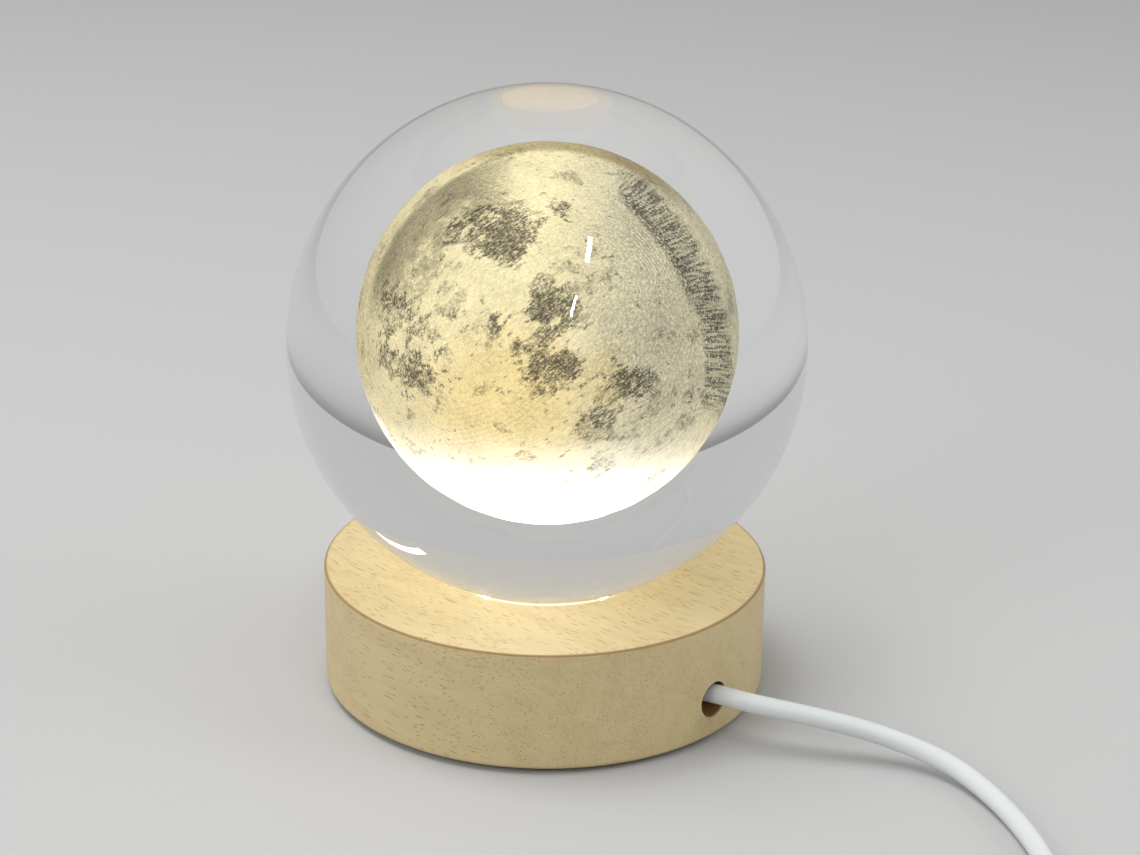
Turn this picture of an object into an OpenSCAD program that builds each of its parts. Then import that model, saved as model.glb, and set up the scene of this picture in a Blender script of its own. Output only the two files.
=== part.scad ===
// Lamp with a moon engraved inside a clear crystal ball, on a lit wooden base.
// Millimetres. +Z is up, and the origin is on the table under the middle of the base.

/* [Ball] */
// Diameter of the clear ball
ball_d = 80; // [66:1:96]
// Diameter of the moon engraved inside it
moon_d = 39; // [24:1:54]
// How far the moon's middle lies above the middle of the ball
moon_up = 1.2; // [-4:0.1:4]

/* [Wooden base] */
// Diameter of the base
base_d = 70; // [68:1:90]
// Height of the wood
base_h = 19; // [18.6:0.1:24.8]
// Round on the top rim
top_round = 0.4; // [0.2:0.1:1.5]
// Round on the bottom rim
bottom_round = 0.8; // [0.2:0.1:2]
// Diameter of the light well under the ball
well_d = 33.6; // [30:0.2:35]
// Depth of the light well
well_depth = 8.5; // [8:0.1:9]
// Width of the sloping seat round the mouth of the well
seat_land = 1; // [0.5:0.1:1.5]
// Diameter of the wiring pocket in the underside
pocket_d = 50; // [48:0.5:51]
// Diameter of the cord hole in the side
cord_hole_d = 5.8; // [5.4:0.1:6]
// Height of the cord hole above the underside of the wood
cord_hole_up = 6.2; // [5.8:0.1:6.6]
// Angle of the cord hole round the base
cord_hole_angle = -42; // [-45:1:-39]

/* [Light board] */
// Diameter of the board
board_d = 43; // [42:0.5:46]
// Thickness of the board
board_t = 1.6; // [1:0.1:1.8]
// Circle of the screws that hold the board
board_screw_circle = 38.8; // [38:0.1:39.5]
// Number of those screws
board_screws_n = 3; // [2:1:4]
// Diameter of the hole for the wires
wire_hole_d = 4; // [3.2:0.1:4.4]
// Circle on which the wire hole lies
wire_hole_circle = 28.6; // [28:0.1:29]
// Number of light-emitting chips
chip_n = 6; // [3:1:6]
// Circle of the chips
chip_circle = 20; // [18:0.5:21]
// Length of a chip
chip_l = 3.5; // [2:0.1:4]
// Width of a chip
chip_w = 2.8; // [1.6:0.1:3]
// Height of a chip
chip_h = 0.8; // [0.5:0.1:1.2]
// Length of a resistor
resistor_l = 3.2; // [2:0.1:3.4]
// Height of a soldered joint
joint_h = 1; // [0.6:0.1:1.2]

/* [Underside] */
// Diameter of the cover plate
cover_d = 59; // [58:0.5:62]
// Thickness of the cover plate
cover_t = 1.6; // [1.4:0.1:2]
// How far the plate lies inside the wood
cover_inset = 0.2; // [0.1:0.1:0.6]
// Circle of the cover screws
cover_screw_circle = 54; // [53.6:0.1:54.2]
// Number of cover screws
cover_screws_n = 3; // [2:1:6]
// Diameter of a foot pad
foot_d = 8; // [5:0.5:9]
// Thickness of a foot pad
foot_h = 1; // [0.8:0.1:3]
// Circle of the foot pads
foot_circle = 38; // [30:1:38]
// Number of foot pads
foot_n = 4; // [3:1:6]

/* [Screws] */
// Shank of a board screw
board_screw_d = 2; // [1.6:0.1:2.2]
// Length of a board screw under its head
board_screw_l = 7; // [5:0.5:7.5]
// Shank of a cover screw
cover_screw_d = 2.2; // [1.8:0.1:2.4]
// Length of a cover screw
cover_screw_l = 8; // [6:0.5:10]
// Shank of a switch screw
switch_screw_d = 1.6; // [1.2:0.1:1.8]

/* [Cord] */
// Diameter of the cord
cord_d = 3; // [2.8:0.1:3]
// Diameter of the two wires inside it
wire_d = 1.1; // [0.8:0.1:1.2]
// Thickness of the cable tie that stops the cord behind the wall
clip_t = 1; // [0.6:0.1:1]
// Width of that cable tie
clip_w = 2.6; // [2:0.1:2.8]
// Turns of cord in the coil
coil_turns = 9.25; // [7.25:1:9.25]
// Radius of the outermost turn
coil_r = 25.5; // [25.5:0.5:27]
// Distance from turn to turn
coil_pitch = 3.45; // [3.45:0.05:3.6]
// Width of the strap round the coil
strap_w = 7; // [4:0.5:10]
// Thickness of the strap
strap_t = 0.8; // [0.6:0.1:0.8]

/* [Switch] */
// Length of the switch housing
switch_l = 46; // [44:1:50]
// Width of the switch housing
switch_w = 17; // [16:0.5:20]
// Height of the switch housing
switch_h = 11; // [10.5:0.1:13]
// Wall of the switch housing
switch_wall = 1.4; // [1.1:0.1:1.6]
// Diameter of the push button
button_d = 9; // [7:0.1:9.6]
// How far the button stands out
button_up = 1.9; // [1.6:0.1:3]
// How far the button moves
button_travel = 1.5; // [1:0.1:1.6]
// Side of the square switch block
block_w = 7; // [6.5:0.1:7.4]
// Height of the switch block
block_h = 2.8; // [2.6:0.1:3]

/* [Plug] */
// Length of the plug body
plug_l = 24; // [20:1:30]
// Width of the plug body
plug_w = 15.5; // [14.5:0.5:17]
// Thickness of the plug body
plug_t = 8; // [7.8:0.1:8]
// Length of the strain relief
relief_l = 9; // [9:0.5:12]
// Length of the metal shell that shows
shell_l = 12; // [11:0.5:12.5]
// Width of the metal shell
shell_w = 12; // [11.9:0.1:12.1]
// Height of the metal shell
shell_h = 4.5; // [4.4:0.1:4.6]

/* [Fits] */
// Gap between the ball and its seat
seat_gap = 0.25; // [0.1:0.05:0.4]
// Gap round the engraved layer
engraving_gap = 0.05; // [0.02:0.01:0.1]
// Gap round the cover plate
cover_gap = 0.2; // [0.1:0.05:0.3]
// Gap round a screw shank
screw_gap = 0.05; // [0.02:0.01:0.1]
// Gap round a held cord
cord_gap = 0.05; // [0.02:0.01:0.1]
// Gap round the button
button_gap = 0.25; // [0.15:0.05:0.35]

/* [Hidden] */
$fn = 96;
cut = 1; // how far a cutting shape runs past a face
ball_r = ball_d / 2;
well_r = well_d / 2;

// Heights, from the table up
cover_z = foot_h;
base_z = cover_z - cover_inset;
base_top = base_z + base_h;
pocket_z = cover_z + cover_t;
board_top = base_top - well_depth;
board_z = board_top - board_t;

// The ball touches the middle of the sloping seat, which is square to its radius there
seat_r = well_r + seat_land / 2;
seat_slope = asin(seat_r / (ball_r + seat_gap));
seat_drop = seat_land * tan(seat_slope);
ball_z = base_top - seat_drop / 2 + (ball_r + seat_gap) * cos(seat_slope);

// Small fixed details
rim_steps = 8; // facets of a turned round
screw_head_ratio = 2; // head to shank
board_head_h = 1.3;
recess_w = 0.5; // arm of a cross recess
recess_depth = 0.6;
phosphor_depth = 0.3;
phosphor_rim = 0.4;
resistor_w = 1.6;
resistor_h = 0.6;
resistor_spread = 14; // half the angle between the resistors
joint_spread = 25; // half the angle between the soldered joints
joint_circle = 27.2;
joint_foot_d = 2.2;
joint_top_d = 1.4;
wire_apart = 0.62; // half the distance between the wires in the cord
wire_apart_in_hole = 0.75;
clip_head = [4.2, 3.4, 4.2];

// Route of the cord from inside the pocket, through the hole, to the start of the coil
CORD_LEAD = [
  [12.8, -14.3, 7], [15.8, -16.1, 7], [18, -17.45, 7.05], [22.3, -20.05, 7.25],
  [26.6, -22.7, 7.5], [30.2, -24.8, 7.5], [34.4, -26.3, 7.2], [38.8, -27.3, 6.7],
  [43, -28, 6], [47.2, -28.6, 5.15], [51.2, -29.6, 4.3], [55, -31.1, 3.5],
  [58.6, -33.3, 2.85], [61.8, -36.4, 2.3], [64.6, -40.7, 1.85], [67, -46.1, 1.6],
  [68.9, -52.3, 1.5], [70.3, -59.4, 1.5], [71.1, -67, 1.5], [71.5, -75, 1.5],
  [71.5, -83, 1.7], [71.5, -91, 2.1], [71.5, -97, 2.3], [71.5, -102, 2.3]];
// Route from the coil to the switch
CORD_LINK = [
  [43, -130.5, 5.75], [40, -130.5, 5.75], [36.5, -130.5, 5.4], [33, -130.5, 4.8],
  [29.5, -130.5, 4.4], [26, -130.5, 4.3], [22, -130.5, 4.5], [18.5, -130.5, 4.5],
  [15, -130.5, 4.5]];
// Route from the switch to the plug
CORD_TAIL = [
  [-19, -130.5, 4.5], [-22.5, -130.5, 4.5], [-26, -130.5, 4.4], [-30, -130.5, 3.7],
  [-33.5, -130.5, 2.8], [-37, -130.4, 2.1], [-40.4, -129.7, 1.7], [-43.6, -127.6, 1.5],
  [-46.1, -124, 1.5], [-47, -119.5, 1.5], [-46.1, -115, 1.6], [-43.6, -111.4, 2],
  [-40.4, -109.3, 2.6], [-37, -108.6, 3.3], [-34, -108.5, 3.8], [-31.5, -108.5, 4],
  [-27.5, -108.5, 4], [-23, -108.5, 4]];

// The coil winds inwards on the table and outwards again one layer up
coil_at = [46, -105, strap_t + cord_d / 2];
coil_lift = coil_pitch;
coil_rings = 24; // rings in a turn
coil_top = coil_at.z + coil_lift + cord_d / 2;
coil_in = coil_r - coil_pitch * coil_turns / 2;
function coil_radius(t) = coil_in + coil_pitch * abs(coil_turns / 2 - t);
function coil_rise(t) = coil_lift * min(1, max(0, 2 * (t - coil_turns / 2) + 0.5));
function coil_point(t) = coil_at + [
  coil_radius(t) * cos(-360 * t), coil_radius(t) * sin(-360 * t), coil_rise(t)];
COIL = concat(
  [coil_point(0) + [0, cord_d, 0]],
  [for (i = [0 : coil_turns * coil_rings]) coil_point(i / coil_rings)],
  [coil_point(coil_turns) - [cord_d, 0, 0]]);

// The switch and the plug lie in line with the ends of their cords
switch_at = [-2, CORD_LINK[0].y, 0];
switch_axis = CORD_LINK[len(CORD_LINK) - 1].z;
switch_corner = 6;
switch_edge = 2.5;
switch_end = 6; // solid ends of the housing, which grip the cord
switch_floor = switch_wall + 0.2;
switch_screw_at = [15, 5];
switch_screw_l = 7;
switch_screw_head_h = 1;
switch_screw_in = 1.2; // how far its seat lies inside the housing
switch_boss_d = 2.4 * switch_screw_d;
switch_bridge = 1.2; // bridges under the board
switch_board_size = [22, 9, 0.8];
switch_board_z = switch_floor + 0.8;
block_z = switch_board_z + switch_board_size.z;
flange_t = 1;
flange_d = button_d + 2.2;
flange_top = switch_h - switch_wall - 0.1;
flange_z = flange_top - flange_t;
plunger_w = 3;
plunger_floor = 0.3; // what is left of the block under the plunger when it is pressed
plunger_in = block_h - plunger_floor - button_travel; // reach into the block at rest
spring_d = 5.6;
spring_wire = 0.4;
spring_turns = 2;
spring_rings = 16;
switch_wire_d = 1;
plug_at = CORD_TAIL[len(CORD_TAIL) - 1];
plug_corner = 2.5;
plug_edge = 1.8;
plug_grip = [0.9, 0.55 * plug_w, 0.35]; // a grip groove
plug_grip_step = 2.2;
plug_grips_n = 4;
shell_t = 0.3;
shell_in = 6; // how far the metal shell reaches into the plug body
shell_round = 0.8;
tongue_t = 1.9;
tongue_gap = 0.05;
window_w = 2.2;
contact = [0.6 * shell_l, 1, 0.2];
strap_room = 0.2; // play of the strap round the coil
strap_corner = 1.2;

// ---- Shapes that repeat ----

function unit(v) = v / norm(v);
function middle(a, b) = (a + b) / 2;

// Directions along a route: square to the end faces, and an average in between
function directions(route) = let (n = len(route)) [
  for (i = [0 : n - 1])
    unit(route[min(i + 1, n - 1)] - route[max(i - 1, 0)])];

// A side vector for each ring, carried along the route without twist
function sides_of(along, first) = [
  for (i = 0, s = first - (first * along[0]) * along[0]; i < len(along);
       i = i + 1, s = i < len(along) ? s - (s * along[i]) * along[i] : s)
    unit(s)];

// One closed tube along a route
module tube(route, d, sides, first = [0, 0, 1]) {
  along = directions(route);
  side = sides_of(along, first);
  n = len(route);
  rings = [
    for (i = [0 : n - 1], k = [0 : sides - 1])
      let (a = 360 * k / sides)
      route[i] + d / 2 * (cos(a) * side[i] + sin(a) * cross(along[i], side[i]))];
  walls = [
    for (i = [0 : n - 2], k = [0 : sides - 1])
      let (a = i * sides + k, b = i * sides + (k + 1) % sides)
      each [[a, a + sides, b], [b, a + sides, b + sides]]];
  caps = [
    for (k = [1 : sides - 2])
      each [[0, k, k + 1], [(n - 1) * sides, (n - 1) * sides + k + 1, (n - 1) * sides + k]]];
  polyhedron(rings, concat(walls, caps), convexity = 10);
}

// The least gap between turns of a tube that winds round the same axis
function least_gap(route, rings, d) =
  min([for (i = [0 : len(route) - 1], j = [i + rings / 2 : 1 : len(route) - 1])
    norm(route[i] - route[j])]) - d;

module ring_of(count, circle, start = 0)
  for (i = [0 : count - 1])
    rotate([0, 0, start + 360 * i / count]) translate([circle / 2, 0, 0]) children();

module rounded_rectangle(l, w, r) {
  square([l - 2 * r, w], center = true);
  square([l, w - 2 * r], center = true);
  for (x = [-1, 1], y = [-1, 1])
    translate([x * (l / 2 - r), y * (w / 2 - r)]) circle(r);
}

// A moulded case with rounded corners and edges, standing on z = 0
module case(l, w, h, corner, edge)
  translate([0, 0, h / 2]) {
    rotate([90, 0, 90])
      linear_extrude(l - 2 * corner, center = true) rounded_rectangle(w, h, edge);
    rotate([90, 0, 0])
      linear_extrude(w - 2 * corner, center = true) rounded_rectangle(l, h, edge);
    for (x = [-1, 1], y = [-1, 1])
      translate([x * (l / 2 - corner), y * (w / 2 - corner), 0])
        rotate_extrude()
          intersection() {
            rounded_rectangle(2 * corner, h, edge);
            translate([0, -h / 2]) square([corner, h]);
          }
  }

module cross_recess(w)
  for (a = [0, 90])
    rotate([0, 0, a]) cube([w, recess_w, 2 * recess_depth], center = true);

// Round-headed screw, head down, shank up from z = 0
module pan_screw(d, l, head_h)
  difference() {
    union() {
      translate([0, 0, -head_h]) cylinder(d1 = 1.4 * d, d2 = screw_head_ratio * d, h = head_h / 2);
      translate([0, 0, -head_h / 2]) cylinder(d = screw_head_ratio * d, h = head_h / 2);
      cylinder(d = d, h = l - d / 2);
      translate([0, 0, l - d / 2]) cylinder(d1 = d, d2 = d / 4, h = d / 2);
    }
    translate([0, 0, -head_h]) cross_recess(1.2 * d);
  }

// Countersunk screw, flat head face on z = 0, point up
module flat_screw(d, l)
  difference() {
    union() {
      cylinder(d1 = screw_head_ratio * d, d2 = d, h = d / 2);
      cylinder(d = d, h = l - d / 2);
      translate([0, 0, l - d / 2]) cylinder(d1 = d, d2 = d / 4, h = d / 2);
    }
    cross_recess(1.2 * d);
  }

// ---- Ball ----

module crystal_ball()
  color([0.86, 0.9, 0.92, 0.35])
    translate([0, 0, ball_z])
      difference() {
        sphere(d = ball_d);
        translate([0, 0, moon_up]) sphere(d = moon_d + 2 * engraving_gap);
      }

module moon_engraving()
  color([0.93, 0.87, 0.7])
    translate([0, 0, ball_z + moon_up]) sphere(d = moon_d);

// ---- Wooden base ----

function rim(x, z, r, from) = [
  for (i = [0 : rim_steps])
    let (a = from + 90 * i / rim_steps) [x + r * cos(a), z + r * sin(a)]];

module base_section()
  polygon(concat(
    [[cover_d / 2 + cover_gap, base_z]],
    rim(base_d / 2 - bottom_round, base_z + bottom_round, bottom_round, -90),
    rim(base_d / 2 - top_round, base_top - top_round, top_round, 0),
    [[well_r + seat_land, base_top], [well_r, base_top - seat_drop],
     [well_r, board_top], [pocket_d / 2, board_top],
     [pocket_d / 2, pocket_z], [cover_d / 2 + cover_gap, pocket_z]]));

module wood_base()
  color([0.86, 0.72, 0.5])
    difference() {
      rotate_extrude() base_section();
      rotate([0, 0, cord_hole_angle])
        translate([pocket_d / 2 - cut, 0, base_z + cord_hole_up])
          rotate([0, 90, 0]) cylinder(d = cord_hole_d, h = base_d / 2 - pocket_d / 2 + 2 * cut);
      ring_of(board_screws_n, board_screw_circle, 30)
        translate([0, 0, board_z])
          cylinder(d = board_screw_d + 2 * screw_gap, h = board_screw_l + screw_gap);
      ring_of(cover_screws_n, cover_screw_circle, 20)
        translate([0, 0, cover_z])
          cylinder(d = cover_screw_d + 2 * screw_gap, h = cover_screw_l + screw_gap);
    }

// ---- Light board ----

module light_board()
  color([0.93, 0.93, 0.9])
    translate([0, 0, board_z])
      difference() {
        cylinder(d = board_d, h = board_t);
        ring_of(board_screws_n, board_screw_circle, 30)
          translate([0, 0, -cut])
            cylinder(d = board_screw_d + 2 * screw_gap, h = board_t + 2 * cut);
        ring_of(1, wire_hole_circle, cord_hole_angle)
          translate([0, 0, -cut]) cylinder(d = wire_hole_d, h = board_t + 2 * cut);
      }

module chip_window()
  translate([0, 0, chip_h - phosphor_depth])
    linear_extrude(phosphor_depth)
      square([chip_w - 2 * phosphor_rim, chip_l - 2 * phosphor_rim], center = true);

module light_chips()
  color([0.95, 0.94, 0.9])
    translate([0, 0, board_top])
      ring_of(chip_n, chip_circle)
        difference() {
          linear_extrude(chip_h) square([chip_w, chip_l], center = true);
          chip_window();
        }

module chip_phosphors()
  color([1, 0.85, 0.3])
    translate([0, 0, board_top]) ring_of(chip_n, chip_circle) chip_window();

module resistors()
  color([0.1, 0.1, 0.11])
    translate([0, 0, board_top])
      for (a = [-1, 1])
        ring_of(1, joint_circle, cord_hole_angle + 180 + a * resistor_spread)
          linear_extrude(resistor_h) square([resistor_w, resistor_l], center = true);

module soldered_joints()
  color([0.75, 0.76, 0.78])
    translate([0, 0, board_top])
      for (a = [-1, 1])
        ring_of(1, joint_circle, cord_hole_angle + a * joint_spread)
          cylinder(d1 = joint_foot_d, d2 = joint_top_d, h = joint_h);

// A wire leaves the end of the cord, rises through the board and comes down on its joint
function wire_route(side) =
  let (
    start = CORD_LEAD[0],
    inward = unit(CORD_LEAD[0] - CORD_LEAD[1]),
    apart = side * cross(inward, [0, 0, 1]),
    up = [0, 0, 1],
    around = [cos(cord_hole_angle), sin(cord_hole_angle), 0],
    hole = wire_hole_circle / 2 * around + wire_apart_in_hole * apart,
    a = cord_hole_angle + side * joint_spread,
    joint = joint_circle / 2 * [cos(a), sin(a), 0],
    run = joint - hole)
  [
    start + wire_apart * apart,
    start + wire_apart * apart + inward,
    [hole.x + 0.3, hole.y - 2.4, start.z + 0.1],
    [hole.x + 0.1, hole.y - 0.9, middle(start.z, board_z)],
    hole + board_z * up,
    hole + board_top * up,
    hole + (board_top + 1) * up,
    hole + 0.1 * run + (board_top + 1.9) * up,
    hole + 0.3 * run + (board_top + 2.6) * up,
    hole + 0.5 * run + (board_top + 2.8) * up,
    hole + 0.75 * run + (board_top + 2.7) * up,
    hole + 0.94 * run + (board_top + 2.2) * up,
    joint + (board_top + joint_h + 0.5) * up,
    joint + (board_top + joint_h) * up];

module red_wire()
  color([0.75, 0.08, 0.07]) tube(wire_route(1), wire_d, 8, [0.3, 1, 0.2]);

module black_wire()
  color([0.07, 0.07, 0.07]) tube(wire_route(-1), wire_d, 8, [0.3, 1, 0.2]);

module board_screws()
  color([0.72, 0.73, 0.75])
    translate([0, 0, board_z])
      ring_of(board_screws_n, board_screw_circle, 30)
        pan_screw(board_screw_d, board_screw_l, board_head_h);

// Cable tie, tight round the cord just inside the wall
module cord_clip()
  color([0.93, 0.93, 0.91])
    translate(CORD_LEAD[1])
      rotate([0, 0, atan2(CORD_LEAD[1].y - CORD_LEAD[0].y, CORD_LEAD[1].x - CORD_LEAD[0].x)])
        rotate([0, 90, 0])
          difference() {
            union() {
              cylinder(d = cord_d + 2 * cord_gap + 2 * clip_t, h = clip_w, center = true);
              translate([0, (cord_d + clip_head.y) / 2, 0])
                cube([clip_head.z, clip_head.y, clip_head.x], center = true);
            }
            cylinder(d = cord_d + 2 * cord_gap, h = clip_head.x + 2 * cut, center = true);
          }

// ---- Underside ----

module cover_plate()
  color([0.1, 0.1, 0.11])
    translate([0, 0, cover_z])
      difference() {
        cylinder(d = cover_d, h = cover_t);
        ring_of(cover_screws_n, cover_screw_circle, 20) {
          translate([0, 0, -cut])
            cylinder(d = cover_screw_d + 2 * screw_gap, h = cover_t + 2 * cut);
          translate([0, 0, -screw_gap])
            cylinder(d1 = screw_head_ratio * cover_screw_d + 4 * screw_gap,
                     d2 = cover_screw_d + 2 * screw_gap, h = cover_screw_d / 2 + 2 * screw_gap);
        }
      }

module cover_screws()
  color([0.72, 0.73, 0.75])
    translate([0, 0, cover_z])
      ring_of(cover_screws_n, cover_screw_circle, 20) flat_screw(cover_screw_d, cover_screw_l);

module foot_pads()
  color([0.16, 0.16, 0.17])
    ring_of(foot_n, foot_circle, 45) {
      cylinder(d1 = foot_d - foot_h, d2 = foot_d, h = foot_h / 2);
      translate([0, 0, foot_h / 2]) cylinder(d = foot_d, h = foot_h / 2);
    }

// ---- Cord ----

module cord_lead() color([0.92, 0.93, 0.93]) tube(CORD_LEAD, cord_d, 8);

module cord_coil() {
  echo(least_gap_in_coil = least_gap(COIL, coil_rings, cord_d));
  color([0.92, 0.93, 0.93]) tube(COIL, cord_d, 6);
}

module cord_link() color([0.92, 0.93, 0.93]) tube(CORD_LINK, cord_d, 8);

module cord_tail() color([0.92, 0.93, 0.93]) tube(CORD_TAIL, cord_d, 8);

// Strap round the bundle, on the side away from where the cord comes in
module coil_strap() {
  inner = coil_in - cord_d / 2 - strap_corner;
  outer = coil_r - coil_pitch / 2 + cord_d / 2 + strap_room;
  height = coil_top - strap_t + strap_room;
  wide = outer - inner;
  color([0.13, 0.13, 0.14])
    translate([coil_at.x - (inner + outer) / 2, coil_at.y, 0]) {
      translate([0, strap_w / 2, strap_t + height / 2])
        rotate([90, 0, 0])
          linear_extrude(strap_w)
            difference() {
              rounded_rectangle(wide + 2 * strap_t, height + 2 * strap_t, strap_corner + strap_t);
              rounded_rectangle(wide, height, strap_corner);
            }
      translate([-wide / 8, 0, height + 2 * strap_t])
        linear_extrude(strap_t) rounded_rectangle(0.6 * wide, strap_w, 1);
    }
}

// ---- Switch ----

module at_switch() translate(switch_at) children();

module switch_cavity()
  translate([0, 0, switch_floor])
    case(switch_l - 2 * switch_end, switch_w - 2 * switch_wall,
         switch_h - switch_wall - switch_floor, switch_corner - switch_wall, 1);

module switch_cord_channel()
  translate([-switch_l, 0, switch_axis])
    rotate([0, 90, 0]) cylinder(d = cord_d + 2 * cord_gap, h = 2 * switch_l);

module at_switch_screws()
  for (s = [-1, 1])
    translate([s * switch_screw_at.x, s * switch_screw_at.y, 0]) children();

module switch_bottom()
  color([0.93, 0.93, 0.92])
    at_switch()
      difference() {
        union() {
          difference() {
            intersection() {
              case(switch_l, switch_w, switch_h, switch_corner, switch_edge);
              translate([0, 0, switch_axis / 2])
                cube([2 * switch_l, 2 * switch_w, switch_axis], center = true);
            }
            switch_cavity();
          }
          for (x = [-1, 1])
            translate([x * (switch_board_size.x / 2 - 2), 0, middle(switch_wall, switch_board_z)])
              cube([switch_bridge, switch_board_size.y, switch_board_z - switch_wall], center = true);
          at_switch_screws()
            translate([0, 0, switch_wall])
              cylinder(d = switch_boss_d, h = switch_axis - switch_wall);
        }
        switch_cord_channel();
        at_switch_screws() {
          translate([0, 0, -cut])
            cylinder(d = switch_screw_d + 2 * screw_gap, h = switch_h);
          translate([0, 0, -cut])
            cylinder(d = screw_head_ratio * switch_screw_d + 0.4, h = cut + switch_screw_in);
        }
      }

module switch_top()
  color([0.93, 0.93, 0.92])
    at_switch()
      difference() {
        union() {
          difference() {
            intersection() {
              case(switch_l, switch_w, switch_h, switch_corner, switch_edge);
              translate([0, 0, switch_axis + switch_h / 2])
                cube([2 * switch_l, 2 * switch_w, switch_h], center = true);
            }
            switch_cavity();
          }
          at_switch_screws()
            translate([0, 0, switch_axis])
              cylinder(d = switch_boss_d, h = switch_h - switch_wall - switch_axis + 0.2);
        }
        switch_cord_channel();
        translate([0, 0, flange_z]) cylinder(d = button_d + 2 * button_gap, h = switch_h);
        at_switch_screws()
          cylinder(d = switch_screw_d + 2 * screw_gap,
                   h = switch_screw_in + switch_screw_l + screw_gap);
      }

module plunger_square(gap)
  square(plunger_w + 2 * gap, center = true);

module switch_button()
  color([0.96, 0.96, 0.95])
    at_switch()
      difference() {
        rotate_extrude()
          polygon(concat(
            [[0, flange_z], [flange_d / 2, flange_z], [flange_d / 2, flange_top],
             [button_d / 2, flange_top]],
            rim(button_d / 2 - 0.6, switch_h + button_up - 0.6, 0.6, 0),
            [[button_d / 3, switch_h + button_up - 0.1], [0, switch_h + button_up - 0.3]]));
        translate([0, 0, flange_z - cut]) linear_extrude(cut + flange_t) plunger_square(0);
      }

module switch_plunger()
  color([0.12, 0.12, 0.13])
    at_switch()
      translate([0, 0, block_z + block_h - plunger_in])
        linear_extrude(flange_top - (block_z + block_h - plunger_in)) plunger_square(0);

SPRING = let (
    low = block_z + block_h + spring_wire / 2,
    high = flange_z - spring_wire / 2)
  [for (i = [0 : spring_turns * spring_rings])
    let (a = 360 * i / spring_rings)
    [spring_d / 2 * cos(a), spring_d / 2 * sin(a),
     low + (high - low) * i / (spring_turns * spring_rings)]];

module switch_spring() {
  echo(least_gap_in_spring = least_gap(SPRING, spring_rings, spring_wire));
  color([0.75, 0.76, 0.78]) at_switch() tube(SPRING, spring_wire, 6);
}

module switch_block()
  color([0.1, 0.1, 0.11])
    at_switch()
      translate([0, 0, block_z])
        difference() {
          linear_extrude(block_h) square(block_w, center = true);
          translate([0, 0, plunger_floor - 0.1]) linear_extrude(block_h) plunger_square(0.2);
        }

module switch_board()
  color([0.2, 0.42, 0.25])
    at_switch()
      translate([0, 0, switch_board_z])
        linear_extrude(switch_board_size.z)
          square([switch_board_size.x, switch_board_size.y], center = true);

// Two wires from each cord end down to the board
module switch_wires()
  color([0.75, 0.08, 0.07])
    at_switch()
      for (s = [-1, 1], y = [-1, 1])
        let (cord_end = s > 0 ? CORD_LINK[len(CORD_LINK) - 1].x - switch_at.x
                              : CORD_TAIL[0].x - switch_at.x,
             y0 = y * wire_apart, z1 = block_z + switch_wire_d / 2)
        tube([
            [cord_end, y0, switch_axis], [cord_end - s * 1.2, y0, switch_axis - 0.1],
            [cord_end - s * 3.2, 1.6 * y0, middle(switch_axis, z1)],
            [cord_end - s * 5.2, 2 * y0, z1 + 0.1],
            [s * (block_w / 2 + 4), 2 * y0, z1], [s * (block_w / 2 + 1.5), 2 * y0, z1]],
          switch_wire_d, 8);

module switch_screws()
  color([0.72, 0.73, 0.75])
    at_switch()
      at_switch_screws()
        translate([0, 0, switch_screw_in])
          pan_screw(switch_screw_d, switch_screw_l, switch_screw_head_h);

// ---- Plug ----

module at_plug() translate([plug_at.x, plug_at.y, plug_t / 2]) children();

module plug_relief() {
  rings = 4;
  step = relief_l / (2 * rings + 1);
  color([0.93, 0.93, 0.92])
    at_plug()
      rotate([0, 90, 0])
        translate([0, 0, -relief_l])
          rotate_extrude()
            polygon(concat(
              [[cord_d / 2 + cord_gap, 0]],
              [for (i = [0 : 2 * rings])
                let (r = cord_d / 2 + 0.7 + 0.14 * i, groove = i % 2 == 0 ? 0 : 0.45)
                each [[r - groove, i * step], [r + 0.05 - groove, (i + 1) * step]]],
              [[cord_d / 2 + cord_gap, relief_l]]));
}

module plug_body()
  color([0.93, 0.93, 0.92])
    at_plug()
      difference() {
        translate([plug_l / 2, 0, -plug_t / 2])
          case(plug_l, plug_w, plug_t, plug_corner, plug_edge);
        translate([plug_l - shell_in, -shell_w / 2, -shell_h / 2])
          cube([shell_in + cut, shell_w, shell_h]);
        for (i = [0 : plug_grips_n - 1], z = [-1, 1])
          translate([0.3 * plug_l + plug_grip_step * i, 0, z * plug_t / 2])
            cube([plug_grip.x, plug_grip.y, 2 * plug_grip.z], center = true);
      }

module shell_section(inset)
  rounded_rectangle(shell_w - 2 * inset, shell_h - 2 * inset, shell_round - inset);

module along_plug(from, l)
  translate([from, 0, 0]) rotate([90, 0, 90]) linear_extrude(l) children();

module plug_shell()
  color([0.78, 0.79, 0.8])
    at_plug()
      difference() {
        along_plug(plug_l - shell_in, shell_in + shell_l) shell_section(0);
        along_plug(plug_l - shell_in - cut, shell_in + shell_l + 2 * cut) shell_section(shell_t);
        for (y = [-1, 1])
          translate([plug_l + shell_l * 0.55, y * shell_w * 0.24, 0])
            cube([window_w, window_w, 2 * shell_h], center = true);
      }

module tongue_section()
  intersection() {
    shell_section(shell_t + tongue_gap);
    translate([-shell_w / 2, -shell_h / 2]) square([shell_w, shell_t + tongue_t]);
  }

module plug_tongue()
  color([0.95, 0.95, 0.95])
    at_plug() {
      along_plug(plug_l - shell_in, shell_in + shell_l - 0.6) tongue_section();
      along_plug(plug_l - shell_in, shell_in - 1) shell_section(shell_t + tongue_gap);
    }

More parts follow.
